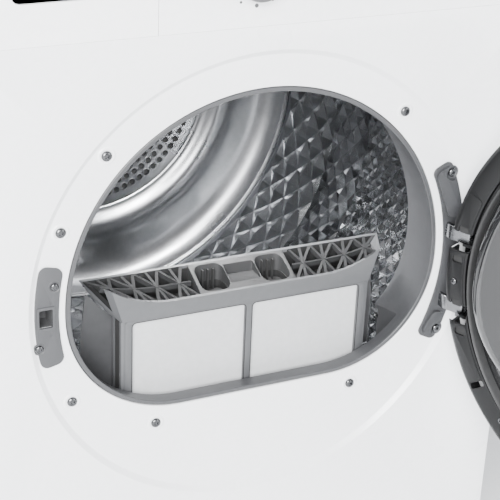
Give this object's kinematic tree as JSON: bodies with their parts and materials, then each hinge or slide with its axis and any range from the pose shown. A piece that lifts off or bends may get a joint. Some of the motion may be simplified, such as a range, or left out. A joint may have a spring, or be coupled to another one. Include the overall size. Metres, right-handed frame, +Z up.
{
  "type": "clothes dryer",
  "caption": "Front-loading heat-pump clothes dryer, door open and lint filter lifted, with drum, drive, tank and control panel.",
  "frame": {"origin": "on the floor under the centre of the cabinet's 600 by 600 mm footprint", "axes": "+Z up, -Y out of the front where the door is, +X to the right as seen from the front"},
  "size_m": [0.7567, 1.0483, 0.85],
  "materials": {
    "white_enamel": "gloss",
    "white_plastic": "satin",
    "white_laminate": "satin painted board",
    "grey_plastic": "satin",
    "plate_plastic": "satin",
    "dark_plastic": "satin",
    "black_gloss": "gloss",
    "tinted_glass": "gloss",
    "stainless": "polished",
    "zinc_steel": "zinc plated",
    "bright_steel": "bright",
    "rubber": "matte",
    "felt": "matte",
    "filter_fabric": "matte",
    "tank_plastic": "satin",
    "cast_metal": "painted",
    "fin_aluminium": "satin",
    "circuit_board": "matte"
  },
  "bodies": {
    "cabinet": {"front_panel": "white_enamel", "left_side_panel": "white_enamel", "right_side_panel": "white_enamel", "rear_panel": "zinc_steel", "rear_duct_cover": "zinc_steel", "top_cover": "white_laminate", "base_pan": "dark_plastic", "control_panel": "white_plastic", "display_window": "black_gloss", "control_board": "circuit_board", "front_bulkhead": "grey_plastic", "drum_front_seal": "felt", "rear_bulkhead": "zinc_steel", "drum_bearing": "cast_metal", "drum_belt": "rubber", "roller_axle_left": "zinc_steel", "roller_axle_right": "zinc_steel", "drive_motor": "cast_metal", "blower_housing": "dark_plastic", "compressor": "cast_metal", "evaporator": "fin_aluminium", "condenser": "fin_aluminium", "condensate_pump": "dark_plastic", "power_inlet": "dark_plastic", "latch_plate": "plate_plastic", "hinge_plate": "zinc_steel", "hinge_pin": "bright_steel", "door_lock": "dark_plastic", "idler_bracket": "zinc_steel"},
    "drum": {"drum_shell": "stainless", "drum_rear_plate": "stainless", "drum_shaft": "zinc_steel", "lifter_low": "grey_plastic", "lifter_high": "grey_plastic"},
    "door": {"door_frame": "dark_plastic", "door_inner_cover": "dark_plastic", "door_seal": "rubber", "door_bowl": "tinted_glass", "door_window": "tinted_glass", "door_hook": "bright_steel", "door_hinge_leaf": "bright_steel"},
    "filter": {"filter_head": "grey_plastic", "filter_frame": "grey_plastic", "filter_mesh": "filter_fabric"},
    "tank": {"water_tank": "tank_plastic", "water_tank_front": "white_plastic"},
    "flap": {"service_flap": "white_plastic"},
    "knob": {"program_knob": "white_plastic"},
    "power_key": {"power_button": "plate_plastic"},
    "option_key": {"option_button": "plate_plastic"},
    "start_key": {"start_button": "plate_plastic"},
    "foot_fl": {"foot_front_left": "rubber"},
    "foot_fr": {"foot_front_right": "rubber"},
    "foot_rl": {"foot_rear_left": "rubber"},
    "foot_rr": {"foot_rear_right": "rubber"},
    "roller_left": {"support_roller_left": "rubber"},
    "roller_right": {"support_roller_right": "rubber"},
    "rotor": {"motor_rotor": "bright_steel", "blower_wheel": "dark_plastic"},
    "idler": {"idler_pulley": "dark_plastic"}
  },
  "joints": [
    {"name": "drum_spin", "type": "hinge", "parent": "cabinet", "child": "drum", "pos_m": [0, 0, 0.48], "axis": [0, 1, 0], "continuous": true},
    {"name": "door_hinge", "type": "hinge", "parent": "cabinet", "child": "door", "pos_m": [0.2269, -0.3212, 0.455], "axis": [0, 0, 1], "range_deg": [-116, 0]},
    {"name": "filter_lift", "type": "slide", "parent": "cabinet", "child": "filter", "axis": [0, 0, 1], "range_m": [-0.1, 0.06]},
    {"name": "tank_slide", "type": "slide", "parent": "cabinet", "child": "tank", "axis": [0, -1, 0], "range_m": [0, 0.42]},
    {"name": "flap_hinge", "type": "hinge", "parent": "cabinet", "child": "flap", "pos_m": [-0.162, -0.3, 0.044], "axis": [1, 0, 0], "range_deg": [0, 90]},
    {"name": "knob_turn", "type": "hinge", "parent": "cabinet", "child": "knob", "pos_m": [-0.02, -0.3, 0.774], "axis": [0, 1, 0], "continuous": true},
    {"name": "power_press", "type": "slide", "parent": "cabinet", "child": "power_key", "axis": [0, 1, 0], "range_m": [0, 0.002], "stiffness_N_per_m": 400},
    {"name": "option_press", "type": "slide", "parent": "cabinet", "child": "option_key", "axis": [0, 1, 0], "range_m": [0, 0.002], "stiffness_N_per_m": 400},
    {"name": "start_press", "type": "slide", "parent": "cabinet", "child": "start_key", "axis": [0, 1, 0], "range_m": [0, 0.002], "stiffness_N_per_m": 400},
    {"name": "foot_fl_turn", "type": "hinge", "parent": "cabinet", "child": "foot_fl", "pos_m": [-0.255, -0.24, 0.01], "axis": [0, 0, 1], "continuous": true},
    {"name": "foot_fr_turn", "type": "hinge", "parent": "cabinet", "child": "foot_fr", "pos_m": [0.255, -0.24, 0.01], "axis": [0, 0, 1], "continuous": true},
    {"name": "foot_rl_turn", "type": "hinge", "parent": "cabinet", "child": "foot_rl", "pos_m": [-0.255, 0.24, 0.01], "axis": [0, 0, 1], "continuous": true},
    {"name": "foot_rr_turn", "type": "hinge", "parent": "cabinet", "child": "foot_rr", "pos_m": [0.255, 0.24, 0.01], "axis": [0, 0, 1], "continuous": true},
    {"name": "roller_left_spin", "type": "hinge", "parent": "cabinet", "child": "roller_left", "pos_m": [-0.176, -0.216, 0.22809], "axis": [0, 1, 0], "continuous": true},
    {"name": "roller_right_spin", "type": "hinge", "parent": "cabinet", "child": "roller_right", "pos_m": [0.176, -0.216, 0.22809], "axis": [0, 1, 0], "continuous": true},
    {"name": "rotor_spin", "type": "hinge", "parent": "cabinet", "child": "rotor", "pos_m": [0.185, 0.1, 0.095], "axis": [0, 1, 0], "continuous": true},
    {"name": "idler_spin", "type": "hinge", "parent": "cabinet", "child": "idler", "pos_m": [0.11832, 0.02, 0.12945], "axis": [0, 1, 0], "continuous": true}
  ],
  "couplings": [
    {"joint": "roller_left_spin", "follows": "drum_spin", "ratio": -11.531},
    {"joint": "roller_right_spin", "follows": "drum_spin", "ratio": -11.531},
    {"joint": "rotor_spin", "follows": "drum_spin", "ratio": 23.567},
    {"joint": "idler_spin", "follows": "drum_spin", "ratio": 18.853}
  ]
}
